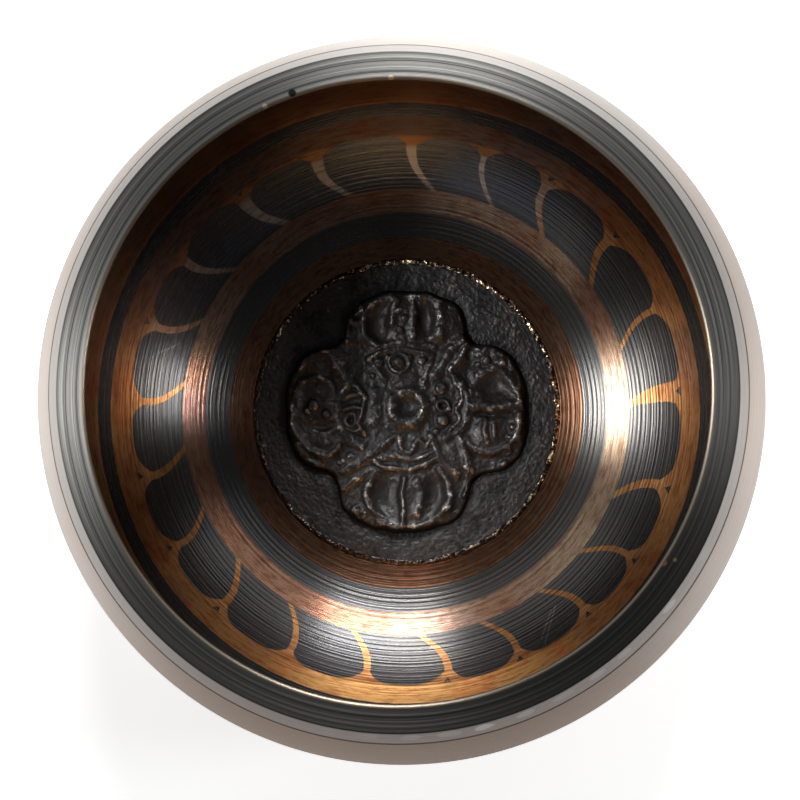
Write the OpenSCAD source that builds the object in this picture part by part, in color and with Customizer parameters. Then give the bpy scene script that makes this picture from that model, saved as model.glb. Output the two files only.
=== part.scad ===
// Cast and lathe-turned bronze singing bowl, with a crossed-vajra relief on its floor.
// Millimetres, +Z up. The origin is the middle of the plane that the bowl stands on.

/* [Bowl] */
// Largest diameter, at the belly
outer_d = 110; // [104:1:116]
// Height from the standing ring to the lip
bowl_h = 58; // [55:1:62]
// Height at which the outside is widest
belly_z = 34; // [32:1:36]
// Wall thickness at the belly
wall_t = 4; // [3.5:0.25:4.5]
// Thickness of the floor
floor_t = 6; // [5:0.5:7]

/* [Lip] */
// Diameter of the mouth
mouth_d = 89; // [86:1:92]
// Width of the lip
lip_w = 4.2; // [4:0.1:5]
// How far the lip falls from its inner bevel to its outer edge
lip_fall = 0.3; // [0.1:0.1:0.6]
// Depth of the turned lip grooves
groove_d = 0.14; // [0.05:0.01:0.25]
// Bevel on the lip's inner edge
lip_bevel = 0.4; // [0.2:0.1:0.6]

/* [Foot] */
// Diameter of the flat that the bowl stands on
foot_d = 60; // [54:1:64]
// Diameter of the turned recess inside the standing ring
recess_d = 44; // [36:1:48]
// Depth of the turned recess
recess_h = 0.8; // [0.4:0.1:1.2]

/* [Medallion] */
// Diameter of the as-cast disc on the floor
medallion_d = 49.2; // [48:0.2:49.6]
// How deep the disc is let into the floor
medallion_sink = 0.5; // [0.3:0.1:0.8]
// How far the disc stands above the floor
medallion_rise = 0.2; // [0.1:0.1:0.4]
// Width of the burnished bead round the disc
bead_w = 0.8; // [0.6:0.1:1]

/* [Relief] */
// Thickness of the scalloped plate under the crossed vajras
plate_h = 0.9; // [0.6:0.1:1.2]
// Radius of the plate at its four lobes
plate_r = 19.8; // [19.5:0.1:21]
// Depth of the plate's notches, which lie between the lobes
notch_depth = 3.6; // [2:0.2:4]
// Height of the highest ridges above the plate
relief_h = 1.6; // [1.2:0.1:2]
// Diameter of the hub boss
hub_d = 7; // [6.4:0.2:7.6]
// Diameter of the hollow in the hub boss
hub_dimple_d = 3.2; // [2.6:0.2:3.8]
// How far the hub sits from the bowl's axis, towards +Y
hub_shift = 0.6; // [0:0.1:1]

/* [Hidden] */

$fn = 96;
tiny = 0.01;

copper = "#8a4b22";
blackened = "#2e2c2d";
gold_edge = "#c79a4b";

belly_r = outer_d / 2;
mouth_r = mouth_d / 2;
lip_out_r = mouth_r + lip_w;
lip_out_z = bowl_h - lip_fall;
foot_r = foot_d / 2;
// The inside is widest a little lower than the outside
inner_belly_z = belly_z - 2;
inner_belly_r = belly_r - wall_t;
corner_r = inner_belly_z - floor_t;
floor_r = inner_belly_r - corner_r;
medallion_r = medallion_d / 2;
disc_bottom = floor_t - medallion_sink;
disc_top = floor_t + medallion_rise;
plate_top = disc_top + plate_h;

// Turned lip grooves: distance of each from the lip's outer edge
groove_at = [0.7, 1.9, 3.4];
groove_half = 0.3;

// The plate's notches: half their width, in degrees, and the points round its outline
notch_half_angle = 11;
plate_points = 72;

// Levels of the relief above the plate, as shares of its full height
low_level = 0.45;
eye_level = 0.75;
rim_level = 0.85;

// Collars start outside the hub and leave room for the leaves between them
collar_in_r = hub_d / 2 + 0.7;
collar_half_angle = 30;
bead_r = 1.1;

// Radius of the arc that leaves a vertical tangent and moves in by dx over a height of dz
function arc_r(dx, dz) = (dx * dx + dz * dz) / (2 * dx);

// Points on that arc between two heights. It is widest, at wide_r, where z is wide_z.
function wall_arc(wide_r, wide_z, r, z_from, z_to, steps) = [
    for (i = [0:steps])
        let (a0 = asin((z_from - wide_z) / r), a1 = asin((z_to - wide_z) / r),
            a = a0 + (a1 - a0) * i / steps)
        [wide_r - r + r * cos(a), wide_z + r * sin(a)]
];

// Height of the lip at radius x: a straight fall from its inner bevel to its outer edge
function lip_z(x) = bowl_h - lip_fall * (x - mouth_r - lip_bevel) / (lip_w - lip_bevel);

// An oval about the origin with half sizes x and y, a little squarer than an ellipse
function oval(x, y) = [
    for (i = [0:47])
        let (a = i * 7.5, c = cos(a), s = sin(a), k = pow(pow(abs(c), 2.4) + pow(abs(s), 2.4), 1 / 2.4))
        [x * c / k, y * s / k]
];

// Radius of the scalloped plate in direction a: a bell-shaped notch on each diagonal
function plate_edge(a) = plate_r - notch_depth * exp(-pow((a % 90 - 45) / notch_half_angle, 2));

// The bowl's wall, floor, lip and foot: one profile turned about the axis
module bowl_body() {
    lower_r = arc_r(belly_r - foot_r, belly_z);
    upper_r = arc_r(belly_r - lip_out_r, lip_out_z - belly_z);
    inner_top_z = bowl_h - lip_bevel;
    inner_upper_r = arc_r(inner_belly_r - mouth_r, inner_top_z - inner_belly_z);
    profile = concat(
        [[0, recess_h], [recess_d / 2 - recess_h, recess_h], [recess_d / 2, 0]],
        wall_arc(belly_r, belly_z, lower_r, 0, belly_z, 28),
        wall_arc(belly_r, belly_z, upper_r, belly_z + 1, lip_out_z, 20),
        [for (g = groove_at, side = [1, 0, -1])
            let (x = lip_out_r - g + side * groove_half)
            [x, lip_z(x) - (side == 0 ? groove_d : 0)]],
        [[mouth_r + lip_bevel, bowl_h]],
        wall_arc(inner_belly_r, inner_belly_z, inner_upper_r, inner_top_z, inner_belly_z, 20),
        wall_arc(inner_belly_r, inner_belly_z, corner_r, inner_belly_z - 1, floor_t, 28),
        [[medallion_r, floor_t], [medallion_r, disc_bottom], [0, disc_bottom]]
    );
    color(copper) rotate_extrude() polygon(profile);
}

// The rough disc let into the floor, which carries the relief
module floor_medallion() {
    color(blackened)
        translate([0, 0, disc_bottom])
            cylinder(r = medallion_r, h = disc_top - disc_bottom);
}

// The thin burnished line round the disc, half round in section
module edge_bead() {
    color(gold_edge)
        rotate_extrude()
            intersection() {
                translate([medallion_r + bead_w / 2, floor_t]) circle(d = bead_w, $fn = 24);
                translate([medallion_r, floor_t]) square([bead_w, bead_w]);
            }
}

// The scalloped plate that raises the crossed vajras off the disc
module relief_plate() {
    color(blackened)
        translate([0, 0, disc_top])
            linear_extrude(plate_h)
                polygon([
                    for (i = [0:plate_points - 1])
                        let (a = i * 360 / plate_points)
                        plate_edge(a) * [cos(a), sin(a)]
                ]);
}

// The round boss where the two vajras cross: a flat ring round a hollow
module hub_boss() {
    color(blackened)
        translate([0, hub_shift, plate_top])
            difference() {
                union() {
                    cylinder(d = hub_d, h = relief_h * low_level);
                    cylinder(d1 = hub_d - 0.4, d2 = hub_d - 1.4, h = relief_h);
                }
                translate([0, 0, relief_h]) sphere(d = hub_dimple_d);
            }
}

// A collar of the vajra: a sector about the hub, with a rim and a row of beads inside the rim
module lotus_collar(turn, out_r, beads) {
    reach = 2 * out_r;
    rim_t = 0.7;
    bead_span = 2 * (collar_half_angle - 9);
    color(blackened)
        translate([0, hub_shift, plate_top])
            rotate([0, 0, turn]) {
                linear_extrude(relief_h * low_level)
                    intersection() {
                        difference() {
                            circle(r = out_r);
                            circle(r = collar_in_r);
                        }
                        polygon([[0, 0],
                            [reach, -reach * tan(collar_half_angle)],
                            [reach, reach * tan(collar_half_angle)]]);
                    }
                linear_extrude(relief_h * rim_level)
                    intersection() {
                        difference() {
                            circle(r = out_r - 0.1);
                            circle(r = out_r - rim_t);
                        }
                        polygon([[0, 0],
                            [reach, -reach * tan(collar_half_angle - 1)],
                            [reach, reach * tan(collar_half_angle - 1)]]);
                    }
                for (i = [0:beads - 1])
                    rotate([0, 0, (i / (beads - 1) - 0.5) * bead_span])
                        translate([out_r - bead_r - rim_t - 0.1, 0, relief_h * low_level - tiny])
                            intersection() {
                                sphere(r = bead_r, $fn = 32);
                                cylinder(r = bead_r + 1, h = bead_r + 1);
                            }
            }
}

// A leaf between two collars: pointed at both ends, with a ridge along its middle
module corner_leaf(turn, middle, tilt, length, width) {
    side_r = arc_r(width / 2, length / 2);
    color(blackened)
        rotate([0, 0, turn])
            translate([middle, 0, plate_top])
                rotate([0, 0, tilt]) {
                    linear_extrude(relief_h * low_level)
                        intersection() {
                            translate([0, side_r - width / 2]) circle(r = side_r);
                            translate([0, width / 2 - side_r]) circle(r = side_r);
                        }
                    linear_extrude(relief_h * eye_level)
                        intersection() {
                            translate([0, side_r - width / 4]) circle(r = side_r);
                            translate([0, width / 4 - side_r]) circle(r = side_r);
                        }
                }
}

// A vajra head: an oval with a raised rim, a middle prong and a ringed eye on each side
module vajra_head(turn, middle, shift, half_len, half_w) {
    rim_t = 1.2;
    prong_w = 1.8;
    eye_r = half_w * 0.26;
    color(blackened)
        rotate([0, 0, turn])
            translate([middle, shift, plate_top]) {
                linear_extrude(relief_h * low_level) polygon(oval(half_len, half_w));
                linear_extrude(relief_h * rim_level)
                    difference() {
                        polygon(oval(half_len - 0.1, half_w - 0.1));
                        polygon(oval(half_len - rim_t, half_w - rim_t));
                    }
                translate([-half_len + rim_t / 2, -prong_w / 2, 0])
                    cube([2 * half_len - rim_t, prong_w, relief_h]);
                for (side = [-1, 1])
                    translate([0, side * half_w * 0.46, 0])
                        difference() {
                            cylinder(r = eye_r, h = relief_h * eye_level);
                            translate([0, 0, relief_h * low_level])
                                cylinder(r = eye_r * 0.5, h = relief_h);
                        }
            }
}

module lotus_collar_east() { lotus_collar(0, 9.8, 4); }
module lotus_collar_north() { lotus_collar(90, 9.4, 3); }
module lotus_collar_west() { lotus_collar(180, 10.2, 4); }
module lotus_collar_south() { lotus_collar(270, 10.2, 5); }

module corner_leaf_northeast() { corner_leaf(48, 11.4, -8, 7.6, 3.6); }
module corner_leaf_northwest() { corner_leaf(138, 12, 6, 7.4, 3.4); }
module corner_leaf_southwest() { corner_leaf(222, 12, -2, 7, 3.4); }
module corner_leaf_southeast() { corner_leaf(316, 11.8, 2, 7.6, 3.6); }

module vajra_head_east() { vajra_head(0, 14.6, 0.6, 4.6, 6.6); }
module vajra_head_north() { vajra_head(90, 14.8, 0.5, 4.6, 6.6); }
module vajra_head_west() { vajra_head(180, 14.9, 0.8, 4.4, 6.6); }
module vajra_head_south() { vajra_head(270, 14.6, -0.1, 4.8, 6.8); }

bowl_body();
floor_medallion();
edge_bead();
relief_plate();
hub_boss();
lotus_collar_east();
lotus_collar_north();
lotus_collar_west();
lotus_collar_south();
corner_leaf_northeast();
corner_leaf_northwest();
corner_leaf_southwest();
corner_leaf_southeast();
vajra_head_east();
vajra_head_north();
vajra_head_west();
vajra_head_south();
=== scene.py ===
"""A cast and lathe-turned singing bowl, with a crossed-vajra relief on the rough disc in its floor."""

import math

import bpy
import numpy as np
from mathutils import Matrix, Vector


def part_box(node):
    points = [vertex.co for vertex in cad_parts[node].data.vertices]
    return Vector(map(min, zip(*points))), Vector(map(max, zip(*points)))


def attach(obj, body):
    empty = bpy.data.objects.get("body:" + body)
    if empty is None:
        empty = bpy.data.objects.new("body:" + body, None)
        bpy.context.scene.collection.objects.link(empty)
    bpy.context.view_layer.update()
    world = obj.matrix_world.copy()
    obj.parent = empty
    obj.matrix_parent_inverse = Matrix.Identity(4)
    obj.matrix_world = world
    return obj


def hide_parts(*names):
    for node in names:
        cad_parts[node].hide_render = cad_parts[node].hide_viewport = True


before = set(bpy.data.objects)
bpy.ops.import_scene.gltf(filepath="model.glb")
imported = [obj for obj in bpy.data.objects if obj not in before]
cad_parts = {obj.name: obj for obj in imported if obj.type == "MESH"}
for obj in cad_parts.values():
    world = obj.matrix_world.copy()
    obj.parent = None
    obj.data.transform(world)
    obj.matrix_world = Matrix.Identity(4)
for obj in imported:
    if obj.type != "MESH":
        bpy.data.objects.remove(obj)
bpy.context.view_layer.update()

MM = 0.001

# ---------------------------------------------------------------- sizes, in millimetres

DISC_LOW, DISC_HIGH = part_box("floor_medallion")

BELLY_R = 55.0
BELLY_Z = 34.0
WALL = 4.0
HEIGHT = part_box("bowl_body")[1].z / MM
MOUTH_R = 44.5
LIP_W = 4.2
LIP_FALL = 0.3
LIP_BEVEL = 0.4
FOOT_R = 30.0
RECESS_R = 22.0
RECESS_H = 0.8
DISC_R = 24.6
DISC_BOTTOM = DISC_LOW.z / MM
DISC_TOP = DISC_HIGH.z / MM
FLOOR_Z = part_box("edge_bead")[0].z / MM
PLATE_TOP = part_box("relief_plate")[1].z / MM
HUB_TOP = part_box("hub_boss")[1].z / MM
PLATE_R = 19.7
NOTCH_DEPTH = 3.6
NOTCH_HALF_ANGLE = 11.0

INNER_BELLY_Z = BELLY_Z - 2.0
INNER_BELLY_R = BELLY_R - WALL
CORNER_R = INNER_BELLY_Z - FLOOR_Z
FLOOR_R = INNER_BELLY_R - CORNER_R
LIP_OUT_R = MOUTH_R + LIP_W

# The bands inside, each from one radius to another on the wall's lower arc
BLACK_BAND = (29.2, 33.1)
PETAL_BAND = (36.7, 44.7)
BLACK_RING = (47.1, 48.7)

# Points round the bowl, and the length that the turning coordinate counts as 1
BOWL_COLUMNS = 256
ALONG_UNIT = 200.0

# ---------------------------------------------------------------- noise, worked out as whole arrays


def lattice(ix, iy, seed):
    """A fixed random number from 0 to 1 for every whole-number point: its bits are multiplied and folded."""
    h = ix.astype(np.int64) * 374761393 + iy.astype(np.int64) * 668265263 + seed * 974634777
    h = (h ^ (h >> 13)) & 0xFFFFFFFF
    h = (h * 1274126177) & 0xFFFFFFFF
    h = (h ^ (h >> 16)) & 0xFFFFFFFF
    return h / 0xFFFFFFFF


def lumps(x, y, size, seed):
    """Smooth lumps from -1 to 1, about `size` across: lattice numbers joined by an eased bilinear blend."""
    gx, gy = x / size, y / size
    ix, iy = np.floor(gx), np.floor(gy)
    tx, ty = gx - ix, gy - iy
    tx, ty = tx * tx * (3 - 2 * tx), ty * ty * (3 - 2 * ty)
    low = lattice(ix, iy, seed) * (1 - tx) + lattice(ix + 1, iy, seed) * tx
    high = lattice(ix, iy + 1, seed) * (1 - tx) + lattice(ix + 1, iy + 1, seed) * tx
    return 2 * (low * (1 - ty) + high * ty) - 1


def cast_skin(x, y, size, seed, layers=3):
    """The surface left by the mould: layers of lumps, each half as large and 0.55 as high as the last."""
    total = np.zeros(np.shape(x))
    for k in range(layers):
        total = total + 0.55**k * lumps(x + 3.7 * k, y - 2.3 * k, size / 2**k, seed + k)
    return total


# ---------------------------------------------------------------- meshes


def stack_faces(rings, columns):
    """Faces of a stack of closed rings between two poles. The first pole is point 0 and the last pole is
    the last point."""
    i = np.arange(rings - 1)[:, None]
    j = np.arange(columns)[None, :]
    k = (j + 1) % columns
    a = 1 + i * columns + j
    b = 1 + (i + 1) * columns + j
    c = 1 + (i + 1) * columns + k
    d = 1 + i * columns + k
    quads = np.stack([a, b, c, d], axis=-1).reshape(-1, 4)
    j, k = np.arange(columns), (np.arange(columns) + 1) % columns
    last = 1 + rings * columns
    first_fan = np.stack([np.zeros(columns, int), 1 + j, 1 + k], axis=-1)
    start = 1 + (rings - 1) * columns
    last_fan = np.stack([start + j, np.full(columns, last), start + k], axis=-1)
    return first_fan.tolist() + quads.tolist() + last_fan.tolist()


def closed_piece(name, points, faces, finish):
    """A piece from an array of points in mm, and faces given as lists."""
    mesh = bpy.data.meshes.new(name)
    mesh.from_pydata((points * MM).tolist(), [], faces)
    mesh.shade_smooth()
    mesh.materials.append(finish)
    piece = bpy.data.objects.new(name, mesh)
    bpy.context.scene.collection.objects.link(piece)
    return piece


def skin(name, rings, first_pole, last_pole, finish):
    """A closed piece from rings, an array of (ring, column, xyz) in mm that runs from pole to pole. Its
    faces point out of the metal if the columns run anticlockwise and the first rings widen on a side that
    looks up."""
    count, columns = rings.shape[:2]
    points = np.vstack([[first_pole], rings.reshape(-1, 3), [last_pole]])
    return closed_piece(name, points, stack_faces(count, columns), finish)


def paint(piece, name, values):
    """A number at each point of the piece, for its material to read."""
    layer = piece.data.attributes.new(name, "FLOAT", "POINT")
    layer.data.foreach_set("value", np.asarray(values, np.float32))


def place(piece, slot, *nodes):
    """The piece rides on the bowl and stands for the CAD nodes, which it hides. Its slot is not used."""
    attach(piece, "root")
    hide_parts(*nodes)


# ---------------------------------------------------------------- materials


class Value:
    """A number that changes over a surface. Maths on it adds Math nodes."""

    def __init__(self, finish, socket):
        self.finish = finish
        self.socket = socket

    def maths(self, operation, *others, first=None):
        start = self if first is None else first
        return self.finish.node("ShaderNodeMath", {"operation": operation},
                                dict(enumerate([start, *others])))

    def __add__(self, other):
        return self.maths("ADD", other)

    __radd__ = __add__

    def __mul__(self, other):
        return self.maths("MULTIPLY", other)

    __rmul__ = __mul__

    def __sub__(self, other):
        return self.maths("SUBTRACT", other)

    def __rsub__(self, other):
        return self.maths("SUBTRACT", self, first=other)

    def __pow__(self, other):
        return self.maths("POWER", other)

    def __gt__(self, other):
        return self.maths("GREATER_THAN", other)

    def __lt__(self, other):
        return self.maths("LESS_THAN", other)

    def fract(self):
        return self.maths("FRACT")

    def floor(self):
        return self.maths("FLOOR")

    def size(self):
        return self.maths("ABSOLUTE")

    def sin(self):
        return self.maths("SINE")

    def at_most(self, other):
        return self.maths("MINIMUM", other)

    def at_least(self, other):
        return self.maths("MAXIMUM", other)

    def step(self, low, high):
        """0 below low, 1 above high, eased between them; the other way round if low is above high."""
        return self.finish.node("ShaderNodeMapRange", {"interpolation_type": "SMOOTHSTEP"},
                                {"Value": self, "From Min": low, "From Max": high})


class Finish:
    """The nodes of a new material or world. node() makes them, and finish_with() joins the last of them to
    the output."""

    def __init__(self, owner):
        owner.use_nodes = True
        self.owner = owner
        self.tree = owner.node_tree
        self.tree.nodes.clear()

    def node(self, kind, settings=None, inputs=None, output=0):
        made = self.tree.nodes.new(kind)
        for key, value in (settings or {}).items():
            setattr(made, key, value)
        for key, value in (inputs or {}).items():
            if isinstance(value, Value):
                self.tree.links.new(value.socket, made.inputs[key])
            else:
                made.inputs[key].default_value = value
        return Value(self, made.outputs[output])

    def position(self):
        return self.node("ShaderNodeTexCoord", output="Object")

    def axes(self, vector):
        apart = self.node("ShaderNodeSeparateXYZ", {}, {0: vector})
        outputs = apart.socket.node.outputs
        return [Value(self, outputs[k]) for k in range(3)]

    def noise(self, vector, scale, detail=2.0, roughness=0.5):
        """Cloudy noise from 0 to 1, averaging a half."""
        return self.node("ShaderNodeTexNoise", {}, {"Vector": vector, "Scale": scale, "Detail": detail,
                                                    "Roughness": roughness})

    def noise_along(self, value, scale, detail=2.0, roughness=0.5):
        """Noise along one number only, such as the distance across turned lines."""
        return self.node("ShaderNodeTexNoise", {"noise_dimensions": "1D"},
                         {"W": value, "Scale": scale, "Detail": detail, "Roughness": roughness})

    def chance(self, whole_number):
        """A fixed random number from 0 to 1 for each whole number."""
        return self.node("ShaderNodeTexWhiteNoise", {"noise_dimensions": "1D"}, {"W": whole_number})

    def mix(self, factor, first, second, blend="MIX"):
        """A colour between first and second."""
        pair = [colour if isinstance(colour, Value) else (*colour, 1.0) for colour in (first, second)]
        return self.node("ShaderNodeMix", {"data_type": "RGBA", "blend_type": blend},
                         {"Factor": factor, 6: pair[0], 7: pair[1]}, output=2)

    def tint(self, factor, colour, by):
        """The colour multiplied by another, as far as the factor says."""
        return self.mix(factor, colour, by, "MULTIPLY")

    def bump(self, height, depth_mm, strength=1.0):
        return self.node("ShaderNodeBump", {}, {"Height": height, "Distance": depth_mm * MM,
                                                "Strength": strength}, output="Normal")

    def metal(self, colour, roughness, metallic, normal, **constants):
        """The Principled shader and the output. The keyword constants stay on their own sockets."""
        links = {"Base Color": colour, "Roughness": roughness, "Metallic": metallic, "Normal": normal}
        for key, value in constants.items():
            links[key.replace("_", " ")] = value
        return self.finish_with(self.node("ShaderNodeBsdfPrincipled", {}, links))

    def finish_with(self, shader, output="ShaderNodeOutputMaterial"):
        out = self.tree.nodes.new(output)
        self.tree.links.new(shader.socket, out.inputs["Surface"])
        return self.owner


# ---------------------------------------------------------------- the turned bowl


# How many points the section has along the inside's lower arc, its upper arc, the bevel and the lip
CORNER_STEPS = 130
INSIDE_STEPS = 44
BEVEL_STEPS = 6
LIP_STEPS = 44


def arc_radius(dx, dz):
    """Radius of the arc that leaves a vertical tangent and moves in by dx over a height of dz."""
    return (dx * dx + dz * dz) / (2 * dx)


def wall_arc(wide_r, wide_z, radius, z_from, z_to, count):
    """Points (r, z) on the arc that is widest, at wide_r, at height wide_z, without its last point."""
    first, last = math.asin((z_from - wide_z) / radius), math.asin((z_to - wide_z) / radius)
    a = np.linspace(first, last, count + 1)[:-1]
    return np.column_stack([wide_r - radius + radius * np.cos(a), wide_z + radius * np.sin(a)])


def lip_height(r):
    """The lip falls from its bevel to its outer edge, under four low turned ridges of uneven width."""
    d = np.clip((LIP_OUT_R - r) / (LIP_W - LIP_BEVEL), 0, 1)
    ridges = np.sin(2 * np.pi * (3.6 * d + 0.35 * np.sin(2 * np.pi * d))) * 0.035
    fade = np.clip(8 * d, 0, 1) * np.clip(8 * (1 - d), 0, 1)
    return HEIGHT - 0.04 - LIP_FALL * (1 - d) + ridges * fade


def bowl_profile():
    """Half the bowl's section as (r, z), from the axis under the disc, up the inside, over the lip and
    down the outside to the axis under the foot."""
    floor = [[RECESS_R * 0.5, DISC_BOTTOM], [DISC_R - 0.3, DISC_BOTTOM], [DISC_R, DISC_BOTTOM],
             [DISC_R, FLOOR_Z - 0.1], [DISC_R + 0.08, FLOOR_Z], [FLOOR_R - 0.1, FLOOR_Z]]
    corner = wall_arc(INNER_BELLY_R, INNER_BELLY_Z, CORNER_R, FLOOR_Z, INNER_BELLY_Z, CORNER_STEPS)
    inside_top = HEIGHT - LIP_BEVEL
    inner_r = arc_radius(INNER_BELLY_R - MOUTH_R, inside_top - INNER_BELLY_Z)
    inside = wall_arc(INNER_BELLY_R, INNER_BELLY_Z, inner_r, INNER_BELLY_Z, inside_top, INSIDE_STEPS)
    a = np.linspace(0, math.pi / 2, BEVEL_STEPS + 1)[:-1]
    bevel = np.column_stack([MOUTH_R + LIP_BEVEL * (1 - np.cos(a)),
                             inside_top + (LIP_BEVEL - 0.04) * np.sin(a)])
    r = np.linspace(MOUTH_R + LIP_BEVEL, LIP_OUT_R - 0.15, LIP_STEPS)
    lip = np.column_stack([r, lip_height(r)])
    outer_top = HEIGHT - LIP_FALL - 0.2
    upper_r = arc_radius(BELLY_R - LIP_OUT_R, outer_top - BELLY_Z)
    upper = wall_arc(BELLY_R, BELLY_Z, upper_r, outer_top, BELLY_Z, 64)
    lower_r = arc_radius(BELLY_R - FOOT_R, BELLY_Z)
    lower = wall_arc(BELLY_R, BELLY_Z, lower_r, BELLY_Z, 0.06, 44)
    foot = [[FOOT_R - 0.4, 0.0], [RECESS_R + 4, 0.0], [RECESS_R + 0.2, 0.0], [RECESS_R, 0.1],
            [RECESS_R - 0.6, RECESS_H - 0.1], [RECESS_R - 0.9, RECESS_H], [RECESS_R * 0.5, RECESS_H]]
    return np.vstack([floor, corner, inside, bevel, lip, upper, lower, foot])


PROFILE = bowl_profile()
STEPS = np.hypot(*np.diff(PROFILE, axis=0).T)
FLOOR_EDGE = int(np.argmax((PROFILE[:, 0] >= FLOOR_R - 0.001) & (PROFILE[:, 1] >= FLOOR_Z - 0.001)))
ALONG = np.concatenate([[0], np.cumsum(STEPS)])
ALONG = ALONG - ALONG[FLOOR_EDGE]


def up_the_inside(r):
    """Distance up the inside wall, from the flat floor's edge to where the wall's lower arc has radius r."""
    return CORNER_R * math.asin((r - FLOOR_R) / CORNER_R)


BEVEL_POINT = FLOOR_EDGE + CORNER_STEPS + INSIDE_STEPS
BEVEL_START = ALONG[BEVEL_POINT]
LIP_START = ALONG[BEVEL_POINT + BEVEL_STEPS]
WALL_START = ALONG[BEVEL_POINT + BEVEL_STEPS + LIP_STEPS]

# The copper lines between the petals: the direction of each, in degrees clockwise from +Y
PETAL_LINES = np.array([2, 18, 32.5, 51, 69, 86.5, 107.5, 124, 138.5, 155.5, 171.5, 189, 206, 223.5,
                        239.5, 256, 272.5, 289, 304.5, 323, 341])


def petal_count(clockwise):
    """How many petal lines a direction has passed, counted from the first one, with fractions between."""
    lines = np.concatenate([PETAL_LINES, [PETAL_LINES[0] + 360]])
    return np.interp((clockwise - PETAL_LINES[0]) % 360, lines - PETAL_LINES[0], np.arange(lines.size))


def lay_out_turning(mesh, turn):
    """The UV map "turning": u is the petal count as a share of a whole turn, and v is the distance along the
    profile. The petal lines are bowed: they turn aside by 5 degrees times the cube of the depth, which runs
    from 0 at the petals' tops to 1 at their feet, less a small bulge."""
    corners = np.zeros(len(mesh.loops), int)
    mesh.loops.foreach_get("vertex_index", corners)
    totals = np.zeros(len(mesh.polygons), int)
    mesh.polygons.foreach_get("loop_total", totals)
    column = np.where(corners == 0, -1, (corners - 1) % BOWL_COLUMNS)
    ring = np.clip((corners - 1) // BOWL_COLUMNS, 0, len(PROFILE) - 1)
    clockwise = (90 - np.degrees(turn))[None, :]
    low, high = up_the_inside(PETAL_BAND[0]), up_the_inside(PETAL_BAND[1])
    depth = np.clip((high - ALONG) / (high - low), 0, 1)
    bow = (5.0 * depth**3 - 0.9 * np.sin(np.pi * depth))[:, None]
    # The line that is counted fifth is almost straight
    straight = petal_count(clockwise - bow)
    share = 1 - 0.75 * np.exp(-(((straight - 5) / 0.35) ** 2))
    count = petal_count(clockwise - bow * share)[ring, column] / len(PETAL_LINES)
    # A face that spans the count's jump from one turn to the next keeps to one side of it
    face = np.repeat(np.arange(len(totals)), totals)
    highest = np.zeros(len(totals))
    np.maximum.at(highest, face, count)
    count = np.where((highest[face] > 0.75) & (count < 0.25), count + 1, count)
    layer = mesh.uv_layers.new(name="turning")
    layer.data.foreach_set("uv", np.column_stack([count, ALONG[ring] / ALONG_UNIT]).ravel())


def turned_bowl(finish):
    """The profile turned about the axis: (r, z) becomes (r cos a, r sin a, z)."""
    turn = np.arange(BOWL_COLUMNS) * 2 * np.pi / BOWL_COLUMNS
    r, z = PROFILE[:, 0][:, None], PROFILE[:, 1][:, None]
    rings = np.stack([r * np.cos(turn), r * np.sin(turn), z + 0 * turn], axis=-1)
    piece = skin("turned_bowl", rings, (0, 0, PROFILE[0, 1]), (0, 0, PROFILE[-1, 1]), finish)
    lay_out_turning(piece.data, turn)
    return piece


# ---------------------------------------------------------------- the bowl's finish

# Pairs of colours: patches or turned lines on a part of the bowl run from one to the other
FLOOR_COPPER = (0.15, 0.080, 0.050), (0.22, 0.125, 0.075)
RING_COPPER = (0.33, 0.175, 0.115), (0.43, 0.315, 0.215)
HIGH_COPPER = (0.31, 0.128, 0.048), (0.45, 0.22, 0.085)
SOOT = (0.095, 0.094, 0.096), (0.120, 0.114, 0.108)
# Painted shade and painted light: the lip's colour as in shade, and as lit by the lamps.
SHADED_LIP_PAINTED = (0.034, 0.034, 0.034), (0.066, 0.063, 0.060)
LIT_LIP_PAINTED = (0.070, 0.072, 0.073), (0.255, 0.250, 0.232)
OUTSIDE = (0.530, 0.460, 0.415), (0.500, 0.465, 0.435)
# Painted reflection: the outside's colour where it mirrors the shaded floor at the south.
SHADED_OUTSIDE_PAINTED = (0.300, 0.205, 0.150), (0.245, 0.210, 0.185)

# How far below the lip the cut line runs round the outside
CUT_LINE = 3.4


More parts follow.
